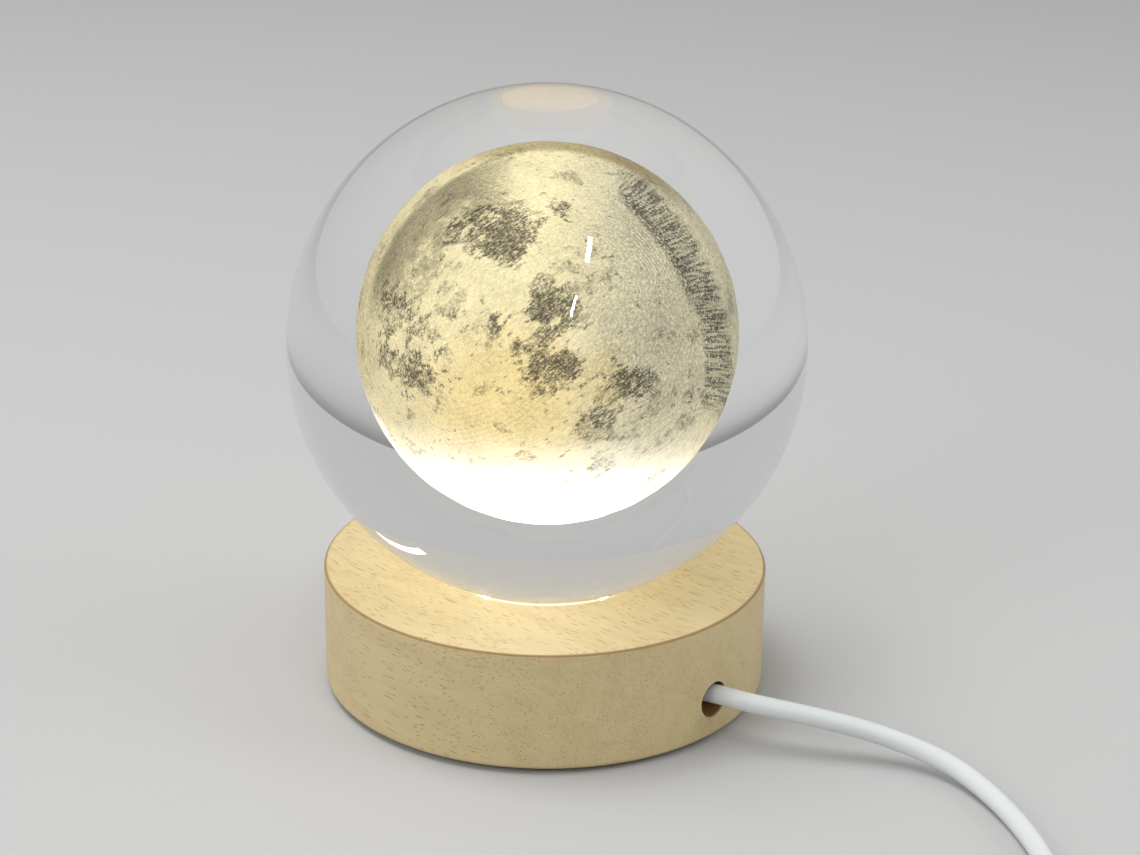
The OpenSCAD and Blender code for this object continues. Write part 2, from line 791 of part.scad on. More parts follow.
module plug_contacts()
  color([0.86, 0.68, 0.3])
    at_plug()
      for (y = [-3.5, -1, 1, 3.5])
        translate([plug_l + 0.2 * shell_l, y - contact.y / 2, tongue_t - (shell_h / 2 - shell_t)])
          cube(contact);

crystal_ball();
moon_engraving();
wood_base();
light_board();
light_chips();
chip_phosphors();
resistors();
soldered_joints();
red_wire();
black_wire();
board_screws();
cord_clip();
cover_plate();
cover_screws();
foot_pads();
cord_lead();
cord_coil();
coil_strap();
cord_link();
cord_tail();
switch_bottom();
switch_top();
switch_button();
switch_plunger();
switch_spring();
switch_block();
switch_board();
switch_wires();
switch_screws();
plug_relief();
plug_body();
plug_shell();
plug_tongue();
plug_contacts();
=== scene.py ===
import math

import bmesh
import bpy
import numpy as np
from mathutils import Euler, Matrix, Vector, noise


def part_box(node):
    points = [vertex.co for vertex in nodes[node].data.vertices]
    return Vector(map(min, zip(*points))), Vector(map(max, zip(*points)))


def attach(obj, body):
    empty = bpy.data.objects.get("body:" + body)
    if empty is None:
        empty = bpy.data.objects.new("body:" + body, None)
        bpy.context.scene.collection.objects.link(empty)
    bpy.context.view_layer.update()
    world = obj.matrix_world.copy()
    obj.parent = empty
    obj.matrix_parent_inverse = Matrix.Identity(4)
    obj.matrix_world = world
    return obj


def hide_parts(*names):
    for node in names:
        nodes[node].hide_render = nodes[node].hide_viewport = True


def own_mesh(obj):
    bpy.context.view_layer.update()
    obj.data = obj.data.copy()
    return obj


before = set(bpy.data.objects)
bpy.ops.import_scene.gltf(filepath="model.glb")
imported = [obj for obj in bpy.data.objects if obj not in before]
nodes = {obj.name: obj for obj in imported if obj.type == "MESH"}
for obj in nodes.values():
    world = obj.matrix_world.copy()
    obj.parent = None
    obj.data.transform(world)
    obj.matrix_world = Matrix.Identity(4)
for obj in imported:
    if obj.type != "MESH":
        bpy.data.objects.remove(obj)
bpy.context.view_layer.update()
print("frame loaded")

mm = 0.001


# ---- small helpers ----

def addNode(tree, kind, inputs=None, **settings):
    made = tree.nodes.new(kind)
    for name, value in settings.items():
        setattr(made, name, value)
    for socket, value in (inputs or {}).items():
        if isinstance(value, bpy.types.NodeSocket):
            tree.links.new(value, made.inputs[socket])
        else:
            made.inputs[socket].default_value = value
    return made


def compute(tree, operation, a, b=0.0, c=0.0):
    return addNode(tree, "ShaderNodeMath", {0: a, 1: b, 2: c}, operation=operation).outputs[0]


def step(tree, value, low, high):
    # 0 below low, 1 above high, and a smooth rise in between
    made = addNode(tree, "ShaderNodeMapRange", {"Value": value, "From Min": low, "From Max": high})
    made.interpolation_type = "SMOOTHSTEP"
    return made.outputs[0]


def blendColours(tree, amount, first, second):
    made = addNode(tree, "ShaderNodeMix", data_type="RGBA")
    for socket, value in (("Factor_Float", amount), ("A_Color", first), ("B_Color", second)):
        target = next(s for s in made.inputs if s.identifier == socket)
        if isinstance(value, bpy.types.NodeSocket):
            tree.links.new(value, target)
        elif socket == "Factor_Float":
            target.default_value = value
        else:
            target.default_value = (*value, 1.0)
    return next(s for s in made.outputs if s.identifier == "Result_Color")


def noiseOf(tree, vector, scale, detail=2.0, roughness=0.5):
    return addNode(tree, "ShaderNodeTexNoise", {
        "Vector": vector, "Scale": scale, "Detail": detail, "Roughness": roughness}).outputs["Fac"]


def total(tree, *values):
    made = values[0]
    for value in values[1:]:
        made = compute(tree, "ADD", made, value)
    return made


def share(tree, *values):
    made = values[0]
    for value in values[1:]:
        made = compute(tree, "MULTIPLY", made, value)
    return made


def centred(tree, value, amount):
    # noise from 0 to 1, spread about zero
    return compute(tree, "MULTIPLY_ADD", value, amount, -0.5 * amount)


def scaled(tree, colour, amount):
    return addNode(tree, "ShaderNodeVectorMath", {0: colour, "Scale": amount}, operation="SCALE").outputs[0]


def placed(tree, at=(0, 0, 0), turn=(0, 0, 0), stretch=(1, 1, 1), source=None):
    # coordinates in metres from a point, in a turned frame, with the pattern drawn out
    source = source or addNode(tree, "ShaderNodeTexCoord").outputs["Object"]
    return addNode(tree, "ShaderNodeMapping", {
        "Vector": source, "Location": at, "Rotation": [math.radians(a) for a in turn],
        "Scale": stretch}, vector_type="TEXTURE").outputs[0]


def parts(tree, vector):
    return addNode(tree, "ShaderNodeSeparateXYZ", {0: vector}).outputs


def newMaterial(name, colour, roughness, metallic=0.0):
    material = bpy.data.materials.new(name)
    material.use_nodes = True
    tree = material.node_tree
    shader = tree.nodes["Principled BSDF"]
    shader.inputs["Base Color"].default_value = (*colour, 1.0)
    shader.inputs["Roughness"].default_value = roughness
    shader.inputs["Metallic"].default_value = metallic
    return material, tree, shader


def roughen(tree, shader, height, distance, strength=1.0):
    bump = addNode(tree, "ShaderNodeBump", {
        "Height": height, "Distance": distance, "Strength": strength})
    tree.links.new(bump.outputs[0], shader.inputs["Normal"])


def dress(name, material):
    for place in nodes[name].material_slots:
        place.material = material


def meshPiece(name, mesh, body, material, replaced=()):
    piece = bpy.data.objects.new(name, mesh)
    bpy.context.collection.objects.link(piece)
    mesh.materials.clear()
    mesh.materials.append(material)
    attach(piece, body)
    if replaced:
        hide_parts(*replaced)
    return piece


# ---- camera, as the photograph was taken ----

photo = {
    "width": 1140,
    "height": 855,
    "focal": 2640,                # in pixels of the photograph
    "aim": (0, 0, 0.0408),        # a point on the lamp's axis
    "aimPixel": (546.3, 435.2),   # where that point shows
    "distance": 0.412,
    "elevation": 21.6,
    "roll": 0.57,
}


def makeCamera(p):
    rise = math.radians(p["elevation"])
    aim = Vector(p["aim"])
    eye = aim + p["distance"] * Vector((0, -math.cos(rise), math.sin(rise)))
    forward = (aim - eye).normalized()
    turn = Matrix.Rotation(math.radians(p["roll"]), 3, -forward)
    right = turn @ Vector((1, 0, 0))
    up = right.cross(forward)
    # look a little past the point, so that it falls on its pixel
    aside = (p["width"] / 2 - p["aimPixel"][0]) / p["focal"]
    above = (p["aimPixel"][1] - p["height"] / 2) / p["focal"]
    back = -(forward + aside * right + above * up).normalized()
    right = up.cross(back).normalized()
    up = back.cross(right)
    data = bpy.data.cameras.new("camera")
    data.sensor_width = 36
    data.lens = p["focal"] / p["width"] * data.sensor_width
    data.clip_start = 0.01
    camera = bpy.data.objects.new("camera", data)
    bpy.context.collection.objects.link(camera)
    camera.matrix_world = Matrix.Translation(eye) @ Matrix((right, up, back)).transposed().to_4x4()
    bpy.context.scene.camera = camera


makeCamera(photo)
print("camera made")


# ---- plain materials of the small parts ----

plastic = {
    "cloudScale": 160,
    "sheenSpread": 0.12,              # how far the roughness varies
    "grainStrength": 0.5,
}
metal = {
    "streakScale": 900,
    "wear": 0.25,                     # how far the roughness varies
    "polish": 0.1,                    # how far below its value it starts
    "shade": 0.82,                    # how dark the streaks are
    "scratchDepth": 0.00002,
    "scratchStrength": 0.3,
}


def plasticMaterial(name, colour, roughness, grain=0.0, spread=0.04, grainScale=2600):
    # moulded plastic: faint cloudy variation, and fine grain where the mould had it
    material, tree, shader = newMaterial(name, colour, roughness)
    cloud = noiseOf(tree, placed(tree), plastic["cloudScale"], 3)
    dull = [c * (1 - spread) for c in colour]
    tree.links.new(blendColours(tree, cloud, colour, dull), shader.inputs["Base Color"])
    varies = plastic["sheenSpread"]
    tree.links.new(compute(tree, "MULTIPLY_ADD", cloud, varies, roughness - varies / 2),
                   shader.inputs["Roughness"])
    if grain:
        roughen(tree, shader, noiseOf(tree, placed(tree), grainScale, 2), grain, plastic["grainStrength"])
    return material


def metalMaterial(name, colour, roughness, stretch=(1, 1, 1)):
    # fine wear and scratches drawn out along one axis
    material, tree, shader = newMaterial(name, colour, roughness, 1.0)
    streak = noiseOf(tree, placed(tree, stretch=stretch), metal["streakScale"], 3, 0.6)
    tree.links.new(compute(tree, "MULTIPLY_ADD", streak, metal["wear"], roughness - metal["polish"]),
                   shader.inputs["Roughness"])
    dark = [c * metal["shade"] for c in colour]
    tree.links.new(blendColours(tree, streak, colour, dark), shader.inputs["Base Color"])
    roughen(tree, shader, streak, metal["scratchDepth"], metal["scratchStrength"])
    return material


# ---- cords ----

cordLook = {
    "colour": (0.68, 0.71, 0.71),
    "roughness": 0.42,
    "grain": 0.00003,
    "spread": 0.05,
}
cordSizes = {
    # in millimetres, as in the construction
    "diameter": 3.0,
    "turns": 9.25,
    "coilRadius": 25.5,
    "pitch": 3.45,
    "coilAt": (46, -105, 2.3),
}

# the same route points as the construction, in millimetres
leadRoute = [
    (12.8, -14.3, 7), (15.8, -16.1, 7), (18, -17.45, 7.05), (22.3, -20.05, 7.25),
    (26.6, -22.7, 7.5), (30.2, -24.8, 7.5), (34.4, -26.3, 7.2), (38.8, -27.3, 6.7),
    (43, -28, 6), (47.2, -28.6, 5.15), (51.2, -29.6, 4.3), (55, -31.1, 3.5),
    (58.6, -33.3, 2.85), (61.8, -36.4, 2.3), (64.6, -40.7, 1.85), (67, -46.1, 1.6),
    (68.9, -52.3, 1.5), (70.3, -59.4, 1.5), (71.1, -67, 1.5), (71.5, -75, 1.5),
    (71.5, -83, 1.7), (71.5, -91, 2.1), (71.5, -97, 2.3), (71.5, -102, 2.3)]
linkRoute = [
    (43, -130.5, 5.75), (40, -130.5, 5.75), (36.5, -130.5, 5.4), (33, -130.5, 4.8),
    (29.5, -130.5, 4.4), (26, -130.5, 4.3), (22, -130.5, 4.5), (18.5, -130.5, 4.5),
    (15, -130.5, 4.5)]
tailRoute = [
    (-19, -130.5, 4.5), (-22.5, -130.5, 4.5), (-26, -130.5, 4.4), (-30, -130.5, 3.7),
    (-33.5, -130.5, 2.8), (-37, -130.4, 2.1), (-40.4, -129.7, 1.7), (-43.6, -127.6, 1.5),
    (-46.1, -124, 1.5), (-47, -119.5, 1.5), (-46.1, -115, 1.6), (-43.6, -111.4, 2),
    (-40.4, -109.3, 2.6), (-37, -108.6, 3.3), (-34, -108.5, 3.8), (-31.5, -108.5, 4),
    (-27.5, -108.5, 4), (-23, -108.5, 4)]


def coilPoints(c, perTurn=36):
    # inwards on the table, then outwards again one layer up
    half = c["turns"] / 2
    inner = c["coilRadius"] - c["pitch"] * half
    x, y, z = c["coilAt"]
    points = []
    for i in range(int(c["turns"] * perTurn) + 1):
        t = i / perTurn
        radius = inner + c["pitch"] * abs(half - t)
        rise = c["pitch"] * min(1, max(0, 2 * (t - half) + 0.5))
        turn = -2 * math.pi * t
        points.append((x + radius * math.cos(turn), y + radius * math.sin(turn), z + rise))
    return points


def smoothRoute(points, pieces=4):
    # a smooth line through the points
    line = [Vector(p) * mm for p in points]
    ends = [2 * line[0] - line[1]] + line + [2 * line[-1] - line[-2]]
    made = []
    for a, b, c, d in zip(ends, ends[1:], ends[2:], ends[3:]):
        for i in range(pieces):
            t = i / pieces
            made.append(0.5 * (2 * b + (c - a) * t + (2 * a - 5 * b + 4 * c - d) * t * t
                               + (3 * b - a - 3 * c + d) * t ** 3))
    return made + [line[-1]]


def lineLength(points):
    return sum((b - a).length for a, b in zip(points, points[1:]))


def cordCurve(name, points, diameter, material):
    data = bpy.data.curves.new(name, "CURVE")
    data.dimensions = "3D"
    data.bevel_depth = diameter / 2
    data.bevel_resolution = 5
    data.use_fill_caps = True
    spline = data.splines.new("POLY")
    spline.points.add(len(points) - 1)
    for place, point in zip(spline.points, points):
        place.co = (*point, 1)
    spline.use_smooth = True
    data.materials.append(material)
    piece = bpy.data.objects.new(name, data)
    bpy.context.collection.objects.link(piece)
    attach(piece, "base")
    return piece


cordSheath = plasticMaterial("cordSheath", **cordLook)
diameter = cordSizes["diameter"] * mm
mainLine = (smoothRoute(leadRoute) + [Vector(p) * mm for p in coilPoints(cordSizes)]
            + smoothRoute(linkRoute))
mainCord = cordCurve("cord_main", mainLine, diameter, cordSheath)
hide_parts("cord_lead", "cord_coil", "cord_link")

tailLine = smoothRoute(tailRoute)
tailCord = cordCurve("cord_to_plug", tailLine, diameter, cordSheath)
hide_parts("cord_tail")
print("cords laid", round(lineLength(mainLine) + lineLength(tailLine), 3), "m")


# ---- crystal ball ----

ballLow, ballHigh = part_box("crystal_ball")
ballRadius = (ballHigh.x - ballLow.x) / 2
ballCentre = Vector((0, 0, ballHigh.z - ballRadius))

crystal = {
    "colour": (0.975, 0.985, 0.985),
    "ior": 1.517,
    "shade": (0.90, 0.92, 0.93),    # how much lamplight the ball passes on
    "subdivisions": 6,
}


def crystalMaterial(c):
    material, tree, shader = newMaterial("clearCrystal", c["colour"], 0.0)
    shader.inputs["Transmission Weight"].default_value = 1.0
    shader.inputs["IOR"].default_value = c["ior"]
    # lamps reach what is inside the ball
    clear = addNode(tree, "ShaderNodeBsdfTransparent", {"Color": (*c["shade"], 1)})
    shadowRay = addNode(tree, "ShaderNodeLightPath").outputs["Is Shadow Ray"]
    mixed = addNode(tree, "ShaderNodeMixShader", {
        0: shadowRay, 1: shader.outputs[0], 2: clear.outputs[0]})
    tree.links.new(mixed.outputs[0], tree.nodes["Material Output"].inputs["Surface"])
    return material


def ballMesh(name, centre, radius, subdivisions):
    mesh = bpy.data.meshes.new(name)
    shape = bmesh.new()
    bmesh.ops.create_icosphere(shape, subdivisions=subdivisions, radius=radius,
                               matrix=Matrix.Translation(centre))
    shape.to_mesh(mesh)
    shape.free()
    mesh.shade_smooth()
    return mesh


meshPiece("crystal_sphere", ballMesh("crystalSphere", ballCentre, ballRadius, crystal["subdivisions"]),
          "ball", crystalMaterial(crystal), ["crystal_ball"])
print("crystal made")


# ---- the moon engraved in it ----

moonLow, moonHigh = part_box("moon_engraving")
moon = {
    "centre": (moonLow + moonHigh) / 2,
    "radius": (moonHigh.x - moonLow.x) / 2,
    "turn": (-20.6, -0.9, -0.8),      # brings the near side round from -Y, in degrees
    "spokes": 540,
    "rings": (115, 25),               # on the side that shows, and beyond it
    "farReach": 0.5,                  # how much the share of the radius grows past the edge
    "relief": 0.00016,
    "craterScale": 420.0,
    "cream": (0.815, 0.709, 0.420),
    "grey": (0.77, 0.709, 0.485),     # towards the right
    "greyAcross": (0.0, 0.5),
    "warm": (0.90, 0.715, 0.338),     # low on the left, and a little low on the right
    "warmLeft": ((-0.22, -0.40), (0.60, 0.15), 1.0),     # middle, where it starts and is full
    "warmRight": ((0.30, -0.26), (0.25, 0.05), 0.6),
    "brown": (0.86, 0.69, 0.33),      # the edge at the top
    "brownAmount": 0.8,
    "white": (0.80, 0.88, 1.0),
    # glow and the white light are painted lamplight from the lamp below the ball: the moon is no lamp
    "ownColour": 0.45,                # share of the tone that needs light from outside
    "glow": 0.70,
    "brightest": (-156, -81),         # where most lamplight falls, degrees round and up
    "whitenFrom": 0.40,
    "whiten": 5.6,
    "whiteThrough": 0.9,              # how much the marks hold the white light back
    "litEdge": ((0.975, 1.08, 0.012), (-62, -22, 10), 0.5),   # away, round, how much
    "ragged": ((5, 4.0), (12, 2.6), (30, 1.3)),   # how fine the uneven edges are, and how deep
    "seed": 1,                        # without one their noise differs from run to run
    "thinnest": -0.5,
    "grainSpread": 0.13,              # how far the grain changes the thickness everywhere,
    "grainInHaze": (0.0, 0.45, 0.17),             # in haze: from, to and how much more,
    "grainInGround": (0.1, 0.9, 0.80),            # and in dark ground
    "grainBump": (0.00004, 0.4),
}

# The four tables below shape the marks. Places are shares of the face's radius, or degrees
# round its middle. A pair is where a change starts and ends, a triple is a window: its low
# end, its high end and how soft they are.

grain = {
    # turn in degrees, how far drawn out, how fine, share of the whole
    "dashes": ((-38, 2.8, 74, 0.5), (42, 2.4, 80, 0.2)),
    "dots": (98, 0.3),
    "range": (0.41, 0.59),
}

haze = {
    "nearSide": (1.35, 1.02),
    "bandStart": (0.60, 0.86),        # at the upper left
    "bandEnd": (0.955, 0.92),
    "bandRound": (12, 72, 12),
    "bandAmount": 0.90,
    "mottle": (7.0, 0.55),            # how fine and how much its inner edge wanders
    "sideAcross": (0.02, 0.55),       # the right side
    "sideUp": (-0.75, -0.2),
    "sideAmount": 0.42,
    "edge": (0.955, 1.05, 0.015),
    "edgeUp": (-0.3, 0.2),
    "edgeAmount": 0.12,
    "topRound": (50, 112, 14),
    "topAmount": 0.55,
    "leftAway": (0.82, 0.92),
    "leftRound": (-18, 40, 14),
    "leftAmount": 0.28,
    "arcsFrom": (-0.5, 0.1),
    "arcsAway": (0.46, 0.72, 0.05),
    "arcsAcross": (-0.5, 0.0, 0.08),
    "arcWidth": 0.026,
    "arcAmount": 0.05,
    "cloud": (3.2, 0.7),              # how fine, and how much
}

ground = {
    "lean": -30,
    "drawnOut": 1.6,
    "patches": (6.0, 5.0),            # how fine the dark patches break up, and how much
    "patchEdge": (0.28, 0.62),
    "flecks": (24.0, 4.6),            # the same for the small ones
    "fleckEdge": (0.52, 0.80),
    "flecksInSea": 0.75,
    "fleckAmount": 0.8,
    "depthNoise": 0.5,
    "depthEdge": (0.1, 1.1),
    "leastDepth": 0.42,
}

streaks = {
    "lineAt": 0.78,                   # the dark line inside the right edge
    "lineBend": (30, 35, 0.05),       # middle and span in degrees, and how much it bends out
    "lineAway": (-0.032, 0.008, 0.010),
    "lineRound": (12, 60, 6),
    "lineAmount": 0.75,
    "fanFrom": (-0.50, -0.02),        # the streaks point away from here
    "hatch": (1.7, 9.0),              # how fine across and along
    "hatchEdge": (0.40, 0.60),
    "hatchAmount": 1.15,
    "length": (0.35, 0.10, 0.085),    # how fine the ends vary, how much, and the least
    "start": (-0.012, 0.012),
    "end": (0.02, -0.03),
    "round": (-24, 63, 5),
    "between": 0.12,
    "ringWidth": 0.0155,              # fine rings inside the line
    "ringAway": (0.62, 0.77, 0.03),
    "ringRound": (24, 48, 6),
    "ringAmount": 0.16,
}

# The broad seas, as a sketch in whole hundredths of the face's radius: right and up of
# its middle, half width and height, turn in degrees, and how full of marks. Each is a soft
# field, and the noise makes the patches, edges, gaps and specks.
nearSeas = [
    # high on the left
    (-25, 56, 17, 10, 15, 0.9), (-20, 43, 12, 8, 10, 0.7), (-48, 52, 9, 6, 35, 0.4),
    # one above the other in the middle
    (4, 11, 13, 11, 0, 0.9), (3, -18, 18, 11, -10, 0.9),
    # left of the middle, and along the left edge
    (-24, 4, 8, 7, 0, 0.6), (-44, 5, 7, 5, 0, 0.4), (-78, 20, 8, 9, 0, 0.6),
    (-84, -6, 5, 9, 0, 0.6), (-65, -20, 13, 12, 0, 0.7), (-68, 6, 10, 8, 0, 0.4),
    # the small round one, and those below it
    (46, -25, 9, 9, 0, 0.7), (26, -45, 12, 8, 0, 0.6), (72, -36, 9, 6, 0, 0.5),
    # high on the right
    (8, 63, 9, 5, -25, 0.6), (33, 38, 8, 5, -30, 0.4)]

# the far side, of which little is ever seen: fewer and smaller
farSeas = [
    (-40, 46, 14, 10, 10, 0.9), (34, -38, 20, 13, 20, 0.8), (-55, -24, 10, 8, 0, 0.7),
    (20, 60, 12, 7, -15, 0.6), (-8, 8, 7, 5, 0, 0.7), (60, 18, 9, 12, -10, 0.6)]

# how far out a sea's field ends, in its own half widths, and over how much of that it fades
seaEnd, seaFade = 1.9, 1.7


def shownAngle(reach, m):
    # how far round from the middle of its face the moon's points lie that show at a share
    # of the face's radius: the ball magnifies them, and shows a little more than half
    small = m["radius"] / ballRadius
    bend = crystal["ior"] * reach
    return (np.arcsin(reach) + np.arcsin(bend * small) - np.arcsin(reach * small)
            - np.arcsin(bend * m["radius"] / photo["distance"]))


def thickness(seas, right, up):
    made = np.zeros_like(right)
    for x, y, wide, high, turn, full in seas:
        c, s = math.cos(math.radians(turn)), math.sin(math.radians(turn))
        along = ((right - x) * c + (up - y) * s) / wide
        across = ((up - y) * c - (right - x) * s) / high
        fade = np.clip((seaEnd - np.hypot(along, across)) / seaFade, 0, 1)
        made += full * fade * fade * (3 - 2 * fade)
    return made


def moonMesh(m):
    # rings about the side that shows, as close together as they show through the ball
    near, far = m["rings"]
    reach = np.linspace(0, 1, near)
    away = shownAngle(reach, m)
    beyond = np.linspace(0, 1, far + 1)[1:]
    reach = np.concatenate((reach, 1 + beyond * m["farReach"]))[1:-1]
    away = np.concatenate((away, away[-1] + beyond * (math.pi - away[-1])))[1:-1]
    about = np.arange(m["spokes"]) * 2 * math.pi / m["spokes"]
    away, about = np.meshgrid(away, about, indexing="ij")
    reach = np.repeat(reach, m["spokes"])
    away, about = away.ravel(), about.ravel()
    flat = np.sin(away)
    local = np.stack((flat * np.cos(about), -np.cos(away), flat * np.sin(about)), axis=1)
    shown = np.stack((reach * np.cos(about), reach * np.sin(about), 0 * reach), axis=1)
    local = np.vstack(([0, -1, 0], local, [0, 1, 0]))
    shown = np.vstack(([0, 0, 0], shown, [1 + m["farReach"], 0, 0]))

    rings, spokes = near + far - 2, m["spokes"]
    first, last = 0, len(local) - 1
    faces = []
    for s in range(spokes):
        after = (s + 1) % spokes
        faces.append((first, 1 + s, 1 + after))
        outer = 1 + (rings - 1) * spokes
        faces.append((outer + after, outer + s, last))
        for r in range(rings - 1):
            a = 1 + r * spokes
            faces.append((a + s, a + spokes + s, a + spokes + after, a + after))
    lean = np.array(Euler([math.radians(a) for a in m["turn"]]).to_matrix())
    mesh = bpy.data.meshes.new("moonBase")
    mesh.from_pydata((local @ lean.T * m["radius"] + np.array(m["centre"])).tolist(), [], faces)
    mesh.shade_smooth()

    # the seas have uneven edges
    noise.seed_set(m["seed"])
    uneven = np.array([
        sum((noise.noise_vector(Vector(p) * fine) * deep for fine, deep in m["ragged"]), Vector())
        for p in local])
    right, up = 100 * shown[:, 0] + uneven[:, 0], 100 * shown[:, 1] + uneven[:, 2]
    seen = local[:, 1] < -math.cos(shownAngle(np.ones(1), m)[0])
    behindRight, behindUp = 100 * local[:, 0] + uneven[:, 0], 100 * local[:, 2] + uneven[:, 2]
    marks = np.where(seen, thickness(nearSeas, right, up), thickness(farSeas, behindRight, behindUp))
    mesh.attributes.new("seaThickness", "FLOAT", "POINT").data.foreach_set("value", marks)
    face = mesh.attributes.new("shownAt", "FLOAT_VECTOR", "POINT")
    face.data.foreach_set("vector", shown.ravel())
    return mesh


def reliefTree():
    # fine craters and rough ground, pushed along the surface's own direction
    tree = bpy.data.node_groups.new("moonRelief", "GeometryNodeTree")
    face = tree.interface
    face.new_socket("Geometry", in_out="INPUT", socket_type="NodeSocketGeometry")
    face.new_socket("Height", in_out="INPUT", socket_type="NodeSocketFloat")
    face.new_socket("Crater Scale", in_out="INPUT", socket_type="NodeSocketFloat")
    face.new_socket("Surface", in_out="INPUT", socket_type="NodeSocketMaterial")
    face.new_socket("Geometry", in_out="OUTPUT", socket_type="NodeSocketGeometry")
    start = addNode(tree, "NodeGroupInput")
    normal = addNode(tree, "GeometryNodeInputNormal").outputs[0]
    place = addNode(tree, "GeometryNodeInputPosition").outputs[0]
    cells = addNode(tree, "ShaderNodeTexVoronoi", {
        "Vector": place, "Scale": start.outputs["Crater Scale"]}).outputs["Distance"]
    ground = addNode(tree, "ShaderNodeTexNoise", {
        "Vector": place, "Scale": start.outputs["Crater Scale"], "Detail": 5.0}).outputs["Fac"]
    bowl = step(tree, cells, 0.05, 0.42)
    rough = compute(tree, "MULTIPLY_ADD", ground, 1.2, -1.05)
    rise = compute(tree, "MULTIPLY", compute(tree, "MULTIPLY_ADD", bowl, 0.5, rough),
                   start.outputs["Height"])
    push = addNode(tree, "ShaderNodeVectorMath", {0: normal, "Scale": rise}, operation="SCALE")
    moved = addNode(tree, "GeometryNodeSetPosition", {
        "Geometry": start.outputs["Geometry"], "Offset": push.outputs[0]})
    real = addNode(tree, "GeometryNodeRealizeInstances", {"Geometry": moved.outputs[0]})
    given = addNode(tree, "GeometryNodeSetMaterial", {
        "Geometry": real.outputs[0], "Material": start.outputs["Surface"]})
    addNode(tree, "NodeGroupOutput", {0: given.outputs[0]})
    return tree


def grownMesh(name, mesh, tree, values):
    # runs a node tree on a mesh and keeps the result as a plain mesh
    carrier = bpy.data.objects.new(name, mesh)
    bpy.context.collection.objects.link(carrier)
    modifier = carrier.modifiers.new("grow", "NODES")
    modifier.node_group = tree
    sockets = {s.name: s.identifier for s in tree.interface.items_tree
               if s.item_type == "SOCKET" and s.in_out == "INPUT"}
    for label, value in values.items():
        modifier[sockets[label]] = value
    view = bpy.context.evaluated_depsgraph_get()
    made = bpy.data.meshes.new_from_object(carrier.evaluated_get(view))
    carrier.modifiers.clear()
    bpy.data.objects.remove(carrier)
    made.name = name
    return made


def polar(tree, source, right=0.0, up=0.0, mirrored=False):
    # distance from a place on the face, and the angle round it in degrees
    flat = parts(tree, source)
    x = compute(tree, "SUBTRACT", flat["X"], right)
    y = compute(tree, "SUBTRACT", flat["Y"], up)
    away = compute(tree, "SQRT", compute(tree, "MULTIPLY_ADD", x, x, compute(tree, "MULTIPLY", y, y)))
    if mirrored:
        x = compute(tree, "MULTIPLY", x, -1)
    return away, compute(tree, "MULTIPLY", compute(tree, "ARCTAN2", y, x), math.degrees(1))


def window(tree, value, low, high, soft):
    return share(tree, step(tree, value, low - soft, low + soft),
                 step(tree, value, high + soft, high - soft))


def waves(tree, value, width):
    return compute(tree, "SINE", share(tree, value, 2 * math.pi / width))


def grainOf(tree, face, g):
    # fine marks: dashes drawn out to the upper right, some crossing them, and dots between
    made = []
    for turn, drawnOut, fine, amount in g["dashes"]:
        source = placed(tree, turn=(0, turn, 0), stretch=(drawnOut, 1, 1), source=face)
        made.append(share(tree, noiseOf(tree, source, fine, 2, 0.6), amount))
    fine, amount = g["dots"]
    made.append(share(tree, noiseOf(tree, face, fine, 1), amount))
    low, high = g["range"]
    return addNode(tree, "ShaderNodeMapRange", {
        "Value": total(tree, *made), "From Min": low, "From Max": high, "To Min": -1.0}).outputs[0]


def hazeOf(tree, shown, face, near, topEdge, h):
    # thin even marks: a band at the upper left, the right side, the edge all round, faint arcs
    across, up = parts(tree, shown)["X"], parts(tree, shown)["Y"]
    away, _ = polar(tree, shown)
    _, fromLeft = polar(tree, shown, mirrored=True)
    fine, much = h["mottle"]
    uneven = compute(tree, "ADD", away, centred(tree, noiseOf(tree, face, fine, 6, 0.65), much))
    band = share(tree, step(tree, uneven, *h["bandStart"]), step(tree, away, *h["bandEnd"]),
                 window(tree, fromLeft, *h["bandRound"]), h["bandAmount"])
    side = share(tree, step(tree, across, *h["sideAcross"]), step(tree, up, *h["sideUp"]), near,
                 h["sideAmount"])
    edge = share(tree, window(tree, away, *h["edge"]), step(tree, up, *h["edgeUp"]), h["edgeAmount"])
    left = share(tree, step(tree, away, *h["leftAway"]), window(tree, fromLeft, *h["leftRound"]), near,
                 h["leftAmount"])
    fromArcs, _ = polar(tree, shown, *h["arcsFrom"])
    arcs = share(tree, waves(tree, fromArcs, h["arcWidth"]), window(tree, fromArcs, *h["arcsAway"]),
                 window(tree, across, *h["arcsAcross"]), h["arcAmount"])
    fine, much = h["cloud"]
    cloud = centred(tree, noiseOf(tree, face, fine, 5, 0.62), much)
    return total(tree, band, side, share(tree, topEdge, h["topAmount"]), edge, left, arcs, cloud)


def groundOf(tree, sea, face, g):
    # dark ground: the broad seas broken up by noise, with flecks round them
    leaning = placed(tree, turn=(0, g["lean"], 0), stretch=(g["drawnOut"], 1, 1), source=face)
    fine, much = g["patches"]
    broken = centred(tree, noiseOf(tree, leaning, fine, 8, 0.66), much)
    patches = step(tree, compute(tree, "ADD", sea, broken), *g["patchEdge"])
    fine, much = g["flecks"]
    small = centred(tree, noiseOf(tree, leaning, fine, 4, 0.6), much)
    flecks = step(tree, total(tree, small, share(tree, sea, g["flecksInSea"])), *g["fleckEdge"])
    depth = step(tree, compute(tree, "MULTIPLY_ADD", small, g["depthNoise"], sea), *g["depthEdge"])
    depth = compute(tree, "ADD", depth, g["leastDepth"])
    return share(tree, compute(tree, "MAXIMUM", patches, share(tree, flecks, g["fleckAmount"])), depth)


